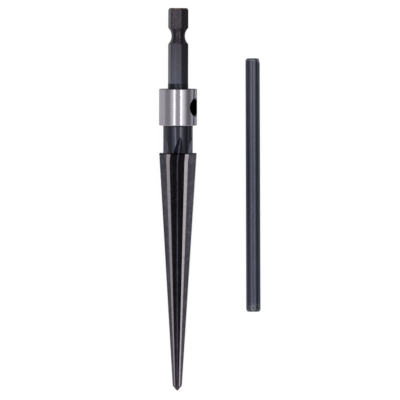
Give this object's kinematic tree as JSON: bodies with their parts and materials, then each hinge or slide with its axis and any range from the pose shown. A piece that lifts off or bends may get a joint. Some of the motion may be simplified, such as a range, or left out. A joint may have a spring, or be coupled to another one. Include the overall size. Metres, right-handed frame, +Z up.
{
  "type": "hand taper reamer",
  "caption": "Fluted hand taper reamer on a hex shank with a detent groove, its bright collar cross-drilled for the loose steel turning bar that lies beside it.",
  "frame": {"origin": "bottom centre of the bounding box of the pieces as they lie, on the surface that they lie on", "axes": "+Y towards the shank end, along the length in plan, +Z up from the surface, +X from the reamer towards the loose bar"},
  "size_m": [0.0356, 0.1334, 0.0139],
  "materials": {
    "black_oxide_steel": "blackened tool steel with a satin sheen, ground bright on the cutting lands",
    "bright_steel": "fine-turned, bright bare steel",
    "blackened_steel": "drawn steel bar, blued black, with a soft sheen"
  },
  "bodies": {
    "root": {"fluted_reamer": "black_oxide_steel", "collar": "bright_steel", "turning_bar": "blackened_steel"}
  },
  "joints": []
}
